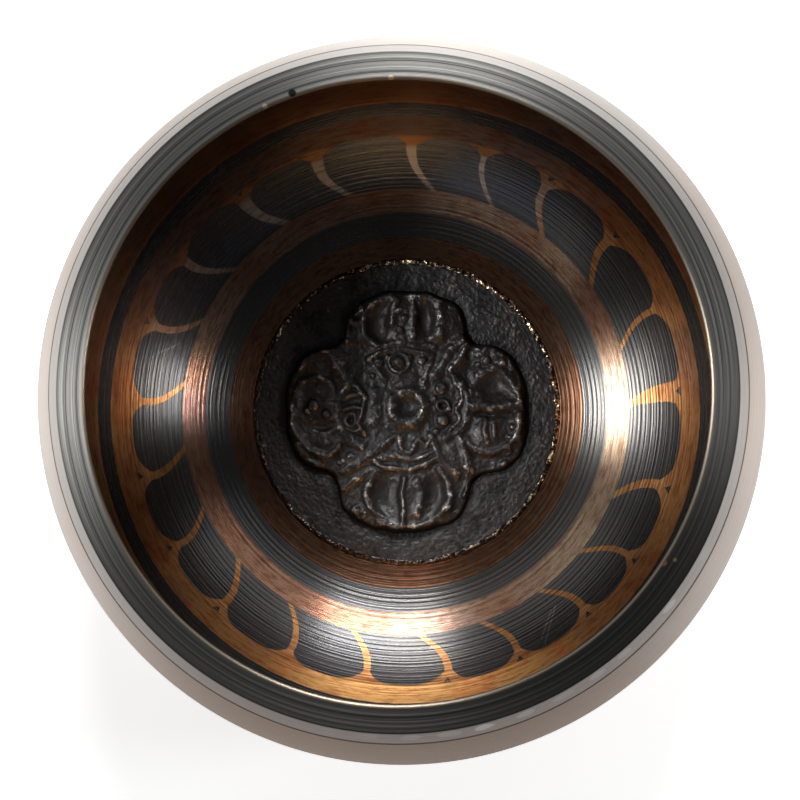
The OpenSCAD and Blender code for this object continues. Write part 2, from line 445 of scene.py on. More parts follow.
class BowlSurface:
    """What all parts of the bowl's finish read: where a point is, and the noises that they share."""

    def __init__(self, f):
        self.f = f
        self.place_in = f.position()
        x, y, _ = f.axes(self.place_in)
        self.x, self.y = x * (1 / MM), y * (1 / MM)
        self.u, v, _ = f.axes(f.node("ShaderNodeUVMap", {"uv_map": "turning"}))
        self.along = v * ALONG_UNIT
        self.cloud = f.noise(self.place_in, 45.0, 3.0, 0.6)
        self.streak = f.noise_along(self.along, 1.9, 1.0, 0.6)
        self.brushed = f.noise_along(self.along, 3.2, 2.0, 0.7)
        self.low, self.high = up_the_inside(PETAL_BAND[0]), up_the_inside(PETAL_BAND[1])
        # From 0 at the petals' tops to 1 at their feet
        depth = (self.along - self.high) * (-1 / (self.high - self.low))
        self.depth = depth.at_least(0.0).at_most(1.0)
        self.on_lip = self.along.step(LIP_START - 0.05, LIP_START + 0.2)
        self.on_wall = self.along.step(WALL_START - 0.15, WALL_START + 0.1)
        self.cut = (self.along - (WALL_START + CUT_LINE)).size().step(0.30, 0.14)

    def petals(self, s, edge):
        """Black petals between bowed copper lines, with round shoulders that meet in forks at the top."""
        count = self.u * float(len(PETAL_LINES)) + (self.f.noise(self.place_in, 70.0, 2.0) - 0.5) * 0.10
        # Across is 0 on a petal's middle line and 1 on the copper lines beside it
        across = (count.fract() * 2.0 - 1.0).size()
        line = (count + 0.5).floor()
        line_chance = self.f.chance(line)
        shoulder = across**3.6 * (0.26 + 0.14 * line_chance) + 0.06 * self.f.chance(count.floor())
        wide = (line - 5.0).size().step(0.6, 0.4) + (line - 19.5).size().step(1.9, 1.2) * 0.4
        line_half = 0.080 + 0.03 * line_chance + 0.15 * wide * (1.15 - self.depth)
        beside_line = across.step(1.0 - line_half + 0.02, 1.0 - line_half - 0.02)
        under_shoulder = self.depth.step(0.0, 0.03) * (self.depth - shoulder).step(-0.015, 0.015)
        petals = beside_line * under_shoulder * s.step(self.low - edge, self.low + edge)
        # A small dark chip is left in some of the forks
        in_fork = (across - 0.86 - self.depth) > 0.0
        chip = in_fork * (self.depth > 0.035) * (self.depth < 0.14) * (line_chance > 0.45)
        return petals.at_least(chip)

    def blackening(self):
        """1 where the inside is blackened: two bands and the petals. Band edges wander, as if cut by hand."""
        drift = (self.f.noise(self.place_in, 28.0, 2.0) - 0.5) * 0.9
        ragged = (self.f.noise(self.place_in, 900.0, 2.0) - 0.5) * 0.35
        s = self.along + drift + ragged
        edge = 0.16
        black = self.petals(s, edge)
        for band in (BLACK_BAND, BLACK_RING):
            low, high = up_the_inside(band[0]), up_the_inside(band[1])
            black = black.at_least(s.step(low - edge, low + edge) * s.step(high + edge, high - edge))
        return black.at_most(1.0)

    def copper(self, north):
        """Bare copper: dark by the disc, pale in the middle and orange above, with painted shade that dulls
        it towards the north, a painted highlight that brightens it at the south, bright copper lines between
        the petals that are painted silvery at the north as a painted reflection, and stained all round."""
        f, along = self.f, self.along
        patchy = self.cloud.step(0.38, 0.66)
        tarnish = f.noise(self.place_in, 75.0, 2.0, 0.6).step(0.52, 0.72) * 0.55
        ring = f.mix(tarnish, f.mix(patchy, *RING_COPPER), (0.26, 0.16, 0.165))
        high = f.mix(tarnish, f.mix(patchy, *HIGH_COPPER), (0.20, 0.11, 0.10))
        black_low, black_high = up_the_inside(BLACK_BAND[0]), up_the_inside(BLACK_BAND[1])
        ring_low, ring_high = up_the_inside(BLACK_RING[0]), up_the_inside(BLACK_RING[1])
        copper = f.mix(patchy, *FLOOR_COPPER)
        copper = f.mix(along.step(black_low + 1.0, black_high - 1.0), copper, ring)
        copper = f.mix(along.step(self.low - 0.2, self.low + 1.6), copper, high)
        copper = f.mix(self.streak.step(0.45, 0.75) * 0.4, copper, (0.24, 0.11, 0.07))
        copper = f.mix(along.step(ring_high, ring_high + 1.0) * 0.5, copper, (0.10, 0.055, 0.035))
        above_petals = along.step(self.high - 0.8, self.high + 0.3)
        # Painted shade: at the north, the copper between the petals' tops and the black ring is dulled to
        # grey-brown.
        painted_north_shade = north * above_petals * along.step(ring_high, ring_low)
        copper = f.mix(painted_north_shade * 0.75, copper, (0.105, 0.092, 0.085))
        # Painted highlight: above the petals, the copper is painted bright orange at the south.
        south = (self.y - self.x * 0.10).step(-35.0, -46.0)
        copper = f.mix(south * above_petals * 0.75, copper, (1.0, 0.55, 0.20))
        # Painted reflection: at the north, the copper lines between the petals are painted pale silver.
        between = along.step(self.low - 0.3, self.low + 0.5) * (self.depth - north * 0.10).step(0.06, 0.22)
        line_copper_and_north_reflection = f.mix(north, (0.52, 0.26, 0.105), (0.54, 0.52, 0.44))
        copper = f.mix(between * 0.75, copper, line_copper_and_north_reflection)
        # The dark stains are drawn out round the bowl, and fade where the petal count starts again
        round_bowl = f.node("ShaderNodeCombineXYZ", {}, {0: self.u * 90.0, 1: along * 1.5})
        stains = f.noise(round_bowl, 1.0, 4.0, 0.7).step(0.56, 0.36) * (self.u - 0.5).size().step(0.5, 0.485)
        copper = f.tint(stains, copper, (0.62, 0.52, 0.50))
        red = f.noise(self.place_in, 120.0, 3.0, 0.6).step(0.52, 0.66) * (0.35 + 0.45 * above_petals)
        return f.tint(red, copper, (0.98, 0.70, 0.64))

    def inside(self, black):
        """Copper and soot, with painted shade towards the north: darker and cooler below the petals and bluer
        from the petals up.
        """
        f = self.f
        north = (self.y - self.x * 0.30).step(16.0, 42.0)
        soot = f.mix(self.cloud.step(0.3, 0.7), *SOOT)
        colour = f.mix(black, self.copper(north), soot)
        # Painted shade: the north side is tinted darker and cooler, for the dim cool light that side gets.
        painted_north_tint = f.mix(self.along.step(self.low - 0.5, self.low + 2.0), (0.60, 0.62, 0.72), (0.82, 1.08, 1.50))
        return f.tint(north, colour, painted_north_tint)

    def lip(self):
        """Turned lines, painted dark at the south-east as painted shade and pale at the north-west as painted
        light, towards the lamps.
        """
        dark = self.f.mix(self.brushed.step(0.3, 0.7), *SHADED_LIP_PAINTED)
        pale = self.f.mix(self.brushed.step(0.32, 0.68), *LIT_LIP_PAINTED)
        # Painted light and shade: from dark at the south-east to pale at the north-west.
        return self.f.mix((self.y * 0.8 - self.x * 0.35).step(-35.0, 25.0), dark, pale)

    def with_outside(self, colour):
        """The colour, covered on the outside by pale bronze with brown lines, painted browner and darker
        towards the south as a painted reflection of the shaded floor there. Above the cut line it is greyer
        and has pale dabs."""
        f = self.f
        mottle = f.noise(self.place_in, 30.0, 3.0).step(0.35, 0.65)
        brown = f.mix(self.brushed.step(0.35, 0.65), *SHADED_OUTSIDE_PAINTED)
        # Painted reflection: the outside is painted browner and darker towards the south, for the shaded
        # floor it mirrors.
        outside = f.mix(self.y.step(-22.0, -50.0), f.mix(mottle, *OUTSIDE), brown)
        outside = f.mix(self.streak.step(0.55, 0.75) * 0.35, outside, (0.30, 0.225, 0.18))
        hoop = self.u * 56.0 + (self.cloud - 0.5) * 2.0
        off = hoop.fract() - 0.5
        dabs = (off * off * 9.0 + (self.along - WALL_START - 1.2) ** 2.0 * 0.9).step(0.9, 0.4)
        dabs = dabs * f.chance(hoop.floor()) * (self.u - 0.42).size().step(0.12, 0.07)
        grey = f.mix(0.45, outside, (0.30, 0.30, 0.30))
        grey = f.mix(dabs * 0.8, grey, (0.56, 0.55, 0.54))
        line_at = WALL_START + CUT_LINE
        above_line = self.on_wall * self.along.step(line_at + 0.2, line_at)
        colour = f.mix(self.on_wall, colour, outside)
        colour = f.mix(above_line, colour, grey)
        return f.mix(self.cut, colour, (0.050, 0.030, 0.022))

    def spot(self, at_x, at_y, radius):
        """A small round mark, seen from above."""
        off = (self.x - at_x) ** 2.0 + (self.y - at_y) ** 2.0
        return off.step(radius**2, 0.3 * radius**2)

    def hairline(self, from_x, from_y, to_x, to_y):
        """A fine straight scratch, seen from above: its distance is taken from the nearest point on it."""
        run_x, run_y = to_x - from_x, to_y - from_y
        ahead_x, ahead_y = self.x - from_x, self.y - from_y
        share = (ahead_x * run_x + ahead_y * run_y) * (1 / (run_x**2 + run_y**2))
        share = share.at_least(0.0).at_most(1.0)
        off = (ahead_x - share * run_x) ** 2.0 + (ahead_y - share * run_y) ** 2.0
        return off.step(0.010, 0.002)

    def marked(self, colour):
        """The colour with three scratches, and a nick, two bright chips and two rubbed spots at the rim."""
        f = self.f
        hairlines = self.hairline(24.3, -31.7, 22.4, -37.9) + self.hairline(23.6, -32.6, 21.9, -37.0)
        hairlines = hairlines + self.hairline(-37.2, 11.0, -40.3, 9.4)
        hairlines = (hairlines * self.along.step(LIP_START, BEVEL_START)).at_most(1.0)
        at_rim = self.along.step(BEVEL_START - 0.8, BEVEL_START)
        nick = self.spot(-15.0, 42.6, 0.7) * at_rim
        chips = ((self.spot(-18.9, 40.7, 0.45) + self.spot(-0.8, 44.7, 0.5)) * at_rim).at_most(1.0)
        rubbed = ((self.spot(37.6, -24.6, 0.55) + self.spot(39.2, -24.2, 0.35)) * at_rim).at_most(1.0)
        colour = f.mix(hairlines * 0.6, colour, (0.42, 0.41, 0.38))
        colour = f.mix(nick, colour, (0.020, 0.018, 0.018))
        colour = f.mix(chips, colour, (0.62, 0.50, 0.33))
        return f.mix(rubbed * 0.8, colour, (0.34, 0.19, 0.12))

    def turned_lines(self):
        """Heights of the turning marks: fine ones, a beat of 0.68 mm that swells and fades, more on the lip,
        and the cut line."""
        f = self.f
        beat = (self.along * (2 * math.pi / 0.68) + f.noise_along(self.along, 0.35, 2.0) * 14.0).sin()
        fine = f.noise_along(self.along, 2.4, 1.0, 0.6)
        strength = f.noise(self.place_in, 55.0, 1.0).step(0.30, 0.70)
        marks = fine * 0.75 + beat * (0.06 + 0.09 * strength)
        return marks + self.brushed * self.on_lip * 0.5 - self.cut * 1.5 * self.on_wall


def turned_metal():
    """Turned bronze in blackened and bare copper bands, with a ring of petals, a grooved lip and a pale
    outside. Its highlights are drawn out across the turned lines."""
    f = Finish(bpy.data.materials.new("turned_bronze"))
    bowl = BowlSurface(f)
    black = bowl.blackening()
    on_bevel = bowl.along.step(BEVEL_START - 0.3, BEVEL_START + 0.05)
    on_bevel = on_bevel * bowl.along.step(LIP_START + 0.2, LIP_START)
    colour = f.mix(on_bevel, bowl.inside(black), (0.25, 0.215, 0.17))
    colour = bowl.marked(f.mix(bowl.on_lip, colour, bowl.lip()))
    colour = bowl.with_outside(colour)
    bare = (1.0 - black) * bowl.along.step(bowl.low, bowl.high)
    rough = 0.235 + 0.10 * (bowl.streak - 0.5) + 0.06 * bowl.cloud + 0.10 * bowl.on_lip + 0.10 * bare
    normal = f.bump(bowl.turned_lines(), 0.07)
    return f.metal(colour, rough, 1.0, normal, Anisotropic=0.85, Anisotropic_Rotation=0.25)


# ---------------------------------------------------------------- the relief's shapes


def ridge(x, y, points, width, height):
    """A rounded ridge along a smooth line: height times exp(-(distance / width)^2). The line passes
    through the points as a Catmull-Rom curve, cut into short straight bits."""
    p = np.array(points, float)
    p = np.vstack([2 * p[0] - p[1], p, 2 * p[-1] - p[-2]])
    t = np.linspace(0, 1, 7)[:-1][:, None, None]
    a, b, c, d = p[:-3], p[1:-2], p[2:-1], p[3:]
    curve = 0.5 * (2 * b + (c - a) * t + (2 * a - 5 * b + 4 * c - d) * t**2 + (3 * b - a - 3 * c + d) * t**3)
    curve = np.vstack([curve.transpose(1, 0, 2).reshape(-1, 2), p[-2]])
    from_x, from_y = curve[:-1, 0][:, None], curve[:-1, 1][:, None]
    step = np.diff(curve, axis=0)
    step_x, step_y = step[:, 0][:, None], step[:, 1][:, None]
    flat_x, flat_y = x.ravel()[None, :], y.ravel()[None, :]
    share = ((flat_x - from_x) * step_x + (flat_y - from_y) * step_y) / (step_x**2 + step_y**2 + 1e-9)
    share = np.clip(share, 0, 1)
    near = (flat_x - from_x - share * step_x) ** 2 + (flat_y - from_y - share * step_y) ** 2
    return height * np.exp(-near.min(axis=0).reshape(x.shape) / width**2)


def mound(x, y, at, half, height, turn=0.0, edge=1.0):
    """A round-topped mound on an oval: height times exp(-q^(2 edge)), where q is the oval's own radius."""
    c, s = math.cos(math.radians(turn)), math.sin(math.radians(turn))
    u, v = x - at[0], y - at[1]
    q = ((u * c + v * s) / half[0]) ** 2 + ((v * c - u * s) / half[1]) ** 2
    return height * np.exp(-(q**edge))


def ball(x, y, at, radius, height):
    """A dome: height times (1 - q^2)^0.5 inside the radius, falling away smoothly at its foot."""
    q = ((x - at[0]) ** 2 + (y - at[1]) ** 2) / radius**2
    return height * np.where(q < 0.8, np.sqrt(np.clip(1 - q, 0, 1)), 0.4472 * np.exp(-3 * (q - 0.8)))


def curl(x, y, at, radius, width, height):
    """A ring-shaped ridge round a point."""
    return height * np.exp(-((np.hypot(x - at[0], y - at[1]) - radius) ** 2) / width**2)


# Ridges: the points they pass through, their width and their height
HEAD_RIDGES = [
    # north
    ([(-2.4, 18.7), (-5.0, 18.0), (-6.9, 16.1), (-7.2, 14.0), (-6.5, 12.1), (-4.7, 10.8)], 0.6, 0.9),
    ([(1.2, 19.3), (3.4, 18.9), (5.4, 17.4), (6.0, 15.0), (5.6, 12.6)], 0.85, 1.2),
    ([(-2.2, 19.0), (-2.0, 17.0), (-2.4, 14.5)], 0.6, 1.0),
    ([(1.3, 18.4), (1.4, 15.5), (1.0, 12.0)], 0.5, 0.9),
    ([(-5.5, 10.3), (-2.5, 11.0), (0.5, 11.0), (4.4, 10.4)], 0.55, 0.6),
    # east
    ([(11.9, 5.9), (13.6, 6.9), (15.7, 6.6), (17.2, 4.8), (18.6, 2.6)], 0.6, 0.8),
    ([(11.6, 9.3), (13.6, 10.3), (15.4, 9.4), (16.0, 7.9)], 0.8, 0.8),
    ([(10.6, 0.9), (14.6, 0.8), (18.9, 1.3)], 0.65, 1.3),
    ([(10.6, 3.4), (10.7, 1.8), (12.4, 1.6)], 0.5, 0.7),
    ([(18.5, -0.6), (18.3, -3.2), (16.9, -5.5), (14.3, -7.0), (11.6, -6.3), (9.8, -4.8)], 0.55, 1.1),
    ([(13.1, -1.5), (12.8, -3.2), (13.2, -5.0)], 0.35, 1.2),
    ([(14.4, -2.0), (14.4, -4.2)], 0.35, 1.15),
    # west
    ([(-18.0, 1.0), (-18.0, 3.2), (-16.8, 4.9), (-14.4, 5.6), (-12.4, 4.6), (-11.6, 2.6)], 0.55, 0.85),
    ([(-19.3, 1.2), (-18.7, -0.2), (-19.2, -2.0)], 0.5, 0.8),
    ([(-19.0, -2.4), (-17.7, -4.6), (-15.8, -6.4), (-13.2, -7.4), (-11.0, -5.6)], 0.5, 1.15),
    # south
    ([(-10.4, -12.6), (-7.9, -11.0), (-5.1, -9.9)], 0.7, 0.9),
    ([(-5.4, -10.6), (-6.4, -13.2), (-5.6, -16.2), (-3.0, -18.2), (-0.6, -19.2)], 0.6, 0.85),
    ([(5.4, -9.4), (6.8, -11.6), (7.2, -13.8), (6.9, -15.9)], 0.55, 1.3),
    ([(7.2, -13.6), (6.2, -16.2), (3.6, -18.3), (0.6, -19.3)], 0.55, 0.8),
    ([(-0.3, -11.0), (-0.8, -13.2), (-0.6, -15.8), (-0.5, -18.9)], 0.38, 1.5),
    ([(2.0, -11.4), (2.6, -13.6), (1.9, -16.6)], 0.6, 0.8),
]
COLLAR_RIDGES = [
    # west
    ([(-9.1, 4.8), (-10.6, 3.1), (-11.2, 0.1), (-10.7, -2.5), (-9.7, -4.5), (-7.4, -5.7)], 0.7, 0.95),
    ([(-8.3, 4.2), (-7.1, 2.5), (-7.2, 0.1), (-7.7, -1.8), (-7.1, -3.8)], 0.45, 0.95),
    ([(-10.5, 2.2), (-9.0, 2.7), (-7.5, 2.6)], 0.4, 0.85),
    ([(-11.0, 0.2), (-9.3, 0.5), (-7.4, 0.4)], 0.4, 0.85),
    ([(-10.8, -2.6), (-9.0, -3.2), (-7.7, -2.9)], 0.4, 0.8),
    # north
    ([(-6.2, 8.6), (-4.7, 9.6), (-1.4, 10.2), (1.9, 9.9), (4.3, 9.1)], 0.5, 0.9),
    ([(-6.1, 8.3), (-4.7, 6.9), (-3.4, 5.1)], 0.5, 0.7),
    ([(4.3, 8.4), (3.4, 6.1), (2.9, 4.8)], 0.5, 0.7),
    # east
    ([(7.3, 6.1), (8.9, 4.6), (10.0, 1.8), (9.9, -1.2), (8.7, -3.7), (6.3, -4.4)], 0.65, 1.05),
    ([(7.8, 5.1), (8.9, 3.5), (9.1, 1.5), (8.2, 0.3), (8.7, -1.5), (7.3, -3.2)], 0.4, 0.95),
    # south
    ([(-5.2, -8.3), (-3.4, -9.3), (-0.1, -9.6), (2.9, -8.9), (5.3, -7.7)], 0.5, 1.2),
    ([(-4.1, -6.5), (-2.7, -4.8), (-1.4, -4.2), (-0.7, -6.3), (0.6, -6.8), (1.9, -4.8), (3.3, -5.8),
      (3.9, -4.8)], 0.45, 0.85),
    ([(-4.4, -7.8), (-2.1, -7.2), (-0.1, -7.8), (1.9, -7.7), (4.3, -6.7)], 0.45, 0.75),
]
LEAF_RIDGES = [
    ([(4.9, 6.1), (6.4, 8.6), (7.6, 10.2), (9.4, 11.6)], 0.8, 0.95),
    ([(7.3, 6.5), (8.9, 8.5), (10.1, 10.9)], 0.65, 1.15),
    ([(-9.9, 5.4), (-11.2, 7.4), (-12.4, 9.1), (-13.4, 10.2)], 0.9, 0.95),
    ([(-16.9, 8.1), (-15.4, 8.9), (-13.9, 9.2)], 0.6, 0.95),
    ([(-4.1, -5.8), (-7.4, -8.2), (-10.1, -9.6)], 0.9, 0.85),
    ([(4.0, -4.0), (5.2, -6.8), (6.9, -9.3), (8.6, -10.6)], 0.55, 0.95),
    ([(8.8, -4.6), (9.9, -6.8), (10.4, -9.4)], 0.6, 1.3),
]
# Balls and beads: middle, radius, height
BALLS = [
    ((2.9, 3.8), 0.6, 0.6),
    ((-1.2, 8.1), 1.0, 1.25), ((-4.5, 8.0), 0.9, 0.9), ((2.6, 8.6), 0.9, 0.9), ((-3.1, 8.9), 0.5, 0.8),
    ((0.6, 9.0), 0.5, 0.8), ((-5.4, 5.8), 0.5, 0.8),
    ((5.8, 3.8), 1.0, 1.3), ((6.0, -1.4), 1.0, 1.35), ((4.6, 2.1), 0.6, 0.7), ((4.9, -3.3), 0.6, 0.7),
    ((7.0, 0.4), 0.5, 1.1), ((6.9, 9.3), 0.9, 1.0), ((7.3, 10.6), 0.6, 0.9),
    ((-6.1, -7.2), 1.1, 0.85), ((-9.1, -7.5), 0.9, 0.8), ((-10.6, -8.4), 0.8, 0.8),
    ((16.6, -6.6), 0.9, 0.8), ((17.6, -2.6), 0.6, 1.2), ((16.9, -4.3), 0.5, 1.15),
    ((-15.3, 1.0), 0.9, 1.35), ((-13.2, -0.4), 0.8, 1.35), ((-16.3, 0.2), 0.6, 1.0),
    ((-1.6, 18.3), 0.7, 1.35), ((-1.2, 16.6), 0.6, 1.3), ((-0.2, 15.3), 0.6, 1.2), ((-1.0, 13.4), 0.6, 1.2),
    ((2.4, 18.9), 0.6, 1.3), ((5.2, 17.3), 0.8, 1.35), ((5.9, 15.5), 0.6, 1.35), ((5.6, 13.6), 0.7, 1.3),
    ((9.9, -9.2), 0.7, 1.3), ((6.6, -16.0), 0.7, 1.2), ((-8.6, -17.2), 0.7, 1.0), ((-7.2, -16.2), 0.5, 1.0),
    ((13.2, 8.2), 0.8, 1.0), ((14.9, 8.9), 0.7, 0.95), ((11.6, 7.6), 0.6, 0.9), ((-15.0, -9.6), 0.8, 0.8),
]
# Rings: middle, radius, width, height
CURLS = [
    ((0.1, 0.6), 2.7, 0.95, 1.35), ((-9.2, -1.4), 0.9, 0.38, 0.85), ((-1.2, 8.1), 1.5, 0.35, 0.85),
    ((6.1, 0.9), 0.9, 0.38, 1.1), ((-8.3, 16.0), 1.4, 0.5, 0.85), ((-7.9, -16.7), 1.1, 0.45, 0.85),
]
# Broad swellings that the lines above stand on: middle, half-sizes, height, turn, edge
SWELLINGS = [
    ((-0.7, 14.9), (7.6, 5.0), 0.60, 0.0, 3.0), ((15.0, 0.9), (4.6, 8.6), 0.60, 0.0, 3.0),
    ((-15.0, -1.2), (4.5, 8.2), 0.60, 0.0, 3.0), ((0.2, -14.6), (8.0, 5.0), 0.60, 0.0, 3.0),
    ((0.0, 0.6), (11.0, 6.6), 0.40, 0.0, 3.0), ((0.0, 0.4), (6.6, 10.6), 0.40, 0.0, 3.0),
    ((-5.1, 0.6), (1.7, 4.2), 0.85, 0.0, 1.5), ((-0.2, 5.3), (2.9, 1.5), 0.75, 0.0, 1.5),
    ((7.9, 8.5), (3.8, 2.0), 0.80, 47.0, 1.0), ((7.5, -7.0), (3.6, 2.0), 0.85, -52.0, 1.0),
    ((-14.7, 7.1), (2.0, 1.7), 0.8, 0.0, 1.0), ((-9.4, 12.2), (2.0, 1.7), 0.75, 0.0, 1.0),
    ((7.6, 15.4), (1.6, 2.6), 0.65, 0.0, 1.0), ((-16.1, -9.0), (1.8, 1.4), 0.6, 0.0, 1.0),
    ((-11.2, 8.2), (3.8, 2.2), 0.65, 135.0, 1.5), ((-7.9, -8.2), (3.8, 2.2), 0.65, 42.0, 1.5),
    ((-0.7, 15.2), (2.3, 4.4), 1.10, 0.0, 2.0), ((1.0, -14.6), (1.9, 4.6), 1.05, 3.0, 2.0),
    ((13.6, -3.6), (2.9, 2.7), 1.15, 0.0, 1.6), ((-14.0, -4.9), (2.8, 1.5), 0.95, 0.0, 1.4),
    ((-14.6, 3.5), (2.3, 1.6), 0.85, 0.0, 1.4), ((13.6, 8.7), (2.6, 1.7), 0.80, 0.0, 1.6),
]
# Eyes sunk between the prongs: middle, half-sizes, depth
EYES = [
    ((-4.6, 14.0), (1.7, 2.7), 1.0), ((3.3, 14.9), (1.3, 2.8), 1.1), ((14.2, 4.1), (2.1, 1.7), 0.9),
    ((-3.5, -13.7), (2.2, 3.1), 1.0), ((4.7, -13.6), (1.6, 2.8), 1.0), ((0.1, 0.6), (1.5, 1.5), 0.5),
    ((-13.9, -2.4), (2.2, 0.9), 0.6), ((16.4, -0.6), (1.6, 0.6), 0.6), ((12.8, -0.6), (2.0, 0.5), 0.6),
    ((-8.3, 16.0), (0.8, 0.8), 0.5),
]


def joined(shapes, power=4):
    """Shapes that stand on the same ground: the fourth root of the sum of their fourth powers, which
    follows the highest and rounds the corners between them."""
    return sum(np.clip(s, 0, None) ** power for s in shapes) ** (1 / power)


def eye_depth(x, y):
    """How deep the eyes are sunk, before the lines that cross them are taken off."""
    return joined([mound(x, y, at, half, depth, 0.0, 1.6) for at, half, depth in EYES])


def relief_height(x, y):
    """The relief above its plate: broad swellings, with a share of the ridges, beads and rings on top, less
    the sunk eyes, plus the unevenness of the casting. The mould's lines waver a little."""
    x, y = x + 0.16 * cast_skin(x, y, 2.0, 61, 2), y + 0.16 * cast_skin(x, y, 2.0, 67, 2)
    lines = [ridge(x, y, points, width * 1.2, height)
             for points, width, height in HEAD_RIDGES + COLLAR_RIDGES + LEAF_RIDGES]
    lines += [ball(x, y, *row) for row in BALLS] + [curl(x, y, *row) for row in CURLS]
    lines = joined(lines) * (1 + 0.24 * cast_skin(x, y, 1.6, 77, 1))
    ground = joined([mound(x, y, *row) for row in SWELLINGS])
    eyes = eye_depth(x, y)
    rough = 0.12 * cast_skin(x, y, 1.5, 3, 1) + 0.065 * cast_skin(x, y, 0.6, 9, 2)
    smooth_eyes = 1 - 0.75 * np.clip(eyes, 0, 1)
    sunk = 0.80 * eyes * (1 - 0.55 * np.clip(lines, 0, 1))
    return ground * 0.85 + lines * 0.66 - sunk + rough * smooth_eyes


def plate_edge(angle):
    """The plate's outline: a lobe to each side and a notch near each diagonal, as r = lobe - depth * bell,
    with a little unevenness."""
    lobe = PLATE_R + 0.35 * np.cos(4 * angle)
    off = np.degrees(angle % (math.pi / 2)) - 45 - 3.5 * np.cos(angle - 0.7)
    notch = NOTCH_DEPTH * np.exp(-(np.abs(off / (NOTCH_HALF_ANGLE + 1)) ** 2.2))
    c, s = np.cos(angle), np.sin(angle)
    return lobe - notch + 0.30 * lumps(c * 9, s * 9, 1.9, 21) + 0.20 * lumps(c * 9, s * 9, 0.8, 23)


def blurred(field, rounds):
    """A square field averaged with its four neighbours, again and again."""
    for _ in range(rounds):
        padded = np.pad(field, 1, mode="edge")
        field = (padded[:-2, 1:-1] + padded[2:, 1:-1] + padded[1:-1, :-2] + padded[1:-1, 2:] + 2 * field) / 6
    return field


# Points along each side of the grid that becomes the relief, and how far its skirt is sunk in the disc
RELIEF_GRID = 300
SKIRT_SINK = 0.35


def cast_relief(finish):
    """The whole relief as one skin: a square grid is bent into a disc (x = u sqrt(1 - v^2 / 2), and y
    likewise), stretched to the plate's outline and lifted to the relief's height; its rim then turns down."""
    n = RELIEF_GRID
    u, v = np.meshgrid(np.linspace(-1, 1, n), np.linspace(-1, 1, n), indexing="ij")
    dx, dy = u * np.sqrt(1 - v**2 / 2), v * np.sqrt(1 - u**2 / 2)
    reach = np.hypot(dx, dy)
    angle = np.arctan2(dy, dx)
    # The outline's notches fade out towards the middle
    pull = reach**6
    r = reach * (plate_edge(angle) * pull + PLATE_R * (1 - pull))
    x, y = r * np.cos(angle), r * np.sin(angle)
    inside_edge = plate_edge(angle) - r
    rim = np.clip(inside_edge / 0.8, 0, 1)
    rim = rim * (2 - rim)
    # A broken ridge follows the edge
    broken = np.clip(0.2 + cast_skin(x, y, 2.0, 83, 2), 0, 1)
    height = relief_height(x, y) + 0.75 * broken * np.exp(-(((inside_edge - 0.9) / 0.55) ** 2))
    # Heights level off just above the top of the hub
    tallest = HUB_TOP + 0.15 - PLATE_TOP
    height = tallest * np.tanh(height / tallest)
    z = PLATE_TOP - 0.12 + height * rim - 0.55 * (1 - rim) ** 1.5
    # Painted shadow: this number is light on the heights and dark in the hollows, and it is brought down near
    # the plate's edge to paint the shadow round the plate.
    wear_and_shade = np.clip(0.5 + (z - blurred(z, 40)) / 0.5, 0, 1) * (0.15 + 0.85 * rim)
    top = np.stack([x, y, z], axis=-1).reshape(-1, 3)
    index = np.arange(n * n).reshape(n, n)
    quads = np.stack([index[:-1, :-1], index[1:, :-1], index[1:, 1:], index[:-1, 1:]], axis=-1)
    loop = np.concatenate([index[:-1, 0], index[-1, :-1], index[:0:-1, -1], index[0, :0:-1]])
    edge = top[loop]
    out = edge[:, :2] / np.linalg.norm(edge[:, :2], axis=1)[:, None]
    foot = DISC_TOP - SKIRT_SINK
    skirts = [np.column_stack([edge[:, :2] + out * d, edge[:, 2] * (1 - t) + foot * t])
              for d, t in ((0.12, 0.25), (0.2, 0.6), (0.25, 1.0))]
    points = np.vstack([top, *skirts, [[0, 0, foot]]])
    m = len(loop)
    rows = [loop] + [n * n + k * m + np.arange(m) for k in range(3)]
    sides = [np.stack([a, b, np.roll(b, -1), np.roll(a, -1)], axis=-1) for a, b in zip(rows[:-1], rows[1:])]
    under = np.stack([rows[-1], np.full(m, n * n + 3 * m), np.roll(rows[-1], -1)], axis=-1)
    faces = quads.reshape(-1, 4).tolist() + np.vstack(sides).tolist() + under.tolist()
    piece = closed_piece("crossed_vajra_relief", points, faces, finish)
    paint(piece, "wear_and_shade", np.concatenate([wear_and_shade.ravel(), np.zeros(3 * m + 1)]))
    paint(piece, "eye", np.concatenate([np.clip(eye_depth(x, y), 0, 1).ravel(), np.zeros(3 * m + 1)]))
    return piece


def rough_disc(finish):
    """The cast disc under the relief: rings of a flat disc, lifted by coarse and fine lumps, and sunk into a
    moat beside the plate."""
    columns = 640
    turn = np.arange(columns) * 2 * np.pi / columns
    r = np.concatenate([[4, 10], np.linspace(14, DISC_R - 0.02, 88)])[:, None]
    x, y = r * np.cos(turn), r * np.sin(turn)
    away = r - plate_edge(turn)
    moat = np.exp(-((np.clip(away, 0, None) / 1.5) ** 2))
    skin_z = 0.07 * cast_skin(x, y, 2.6, 31, 2) + 0.035 * cast_skin(x, y, 0.6, 37, 2)
    skin_z = skin_z + 0.045 * cast_skin(x, y, 0.32, 43, 1)
    z = DISC_TOP - 0.02 + skin_z - 0.24 * moat
    # Painted shadow: the number is brought to 0 in the moat beside the plate, which paints it dark.
    wear_and_shade = np.clip(0.34 + skin_z * 3.2, 0, 1) * (1 - moat)
    sides = [np.stack([radius * np.cos(turn), radius * np.sin(turn), 0 * turn + height], axis=-1)
             for radius, height in ((DISC_R, DISC_TOP - 0.15), (DISC_R, DISC_BOTTOM), (8.0, DISC_BOTTOM))]
    rings = np.concatenate([np.stack([x, y, z], axis=-1), np.array(sides)])
    piece = skin("rough_disc", rings, (0, 0, DISC_TOP), (0, 0, DISC_BOTTOM), finish)
    paint(piece, "wear_and_shade", np.concatenate([[0], wear_and_shade.ravel(), np.zeros(3 * columns + 1)]))
    paint(piece, "eye", np.zeros(len(piece.data.vertices)))
    return piece


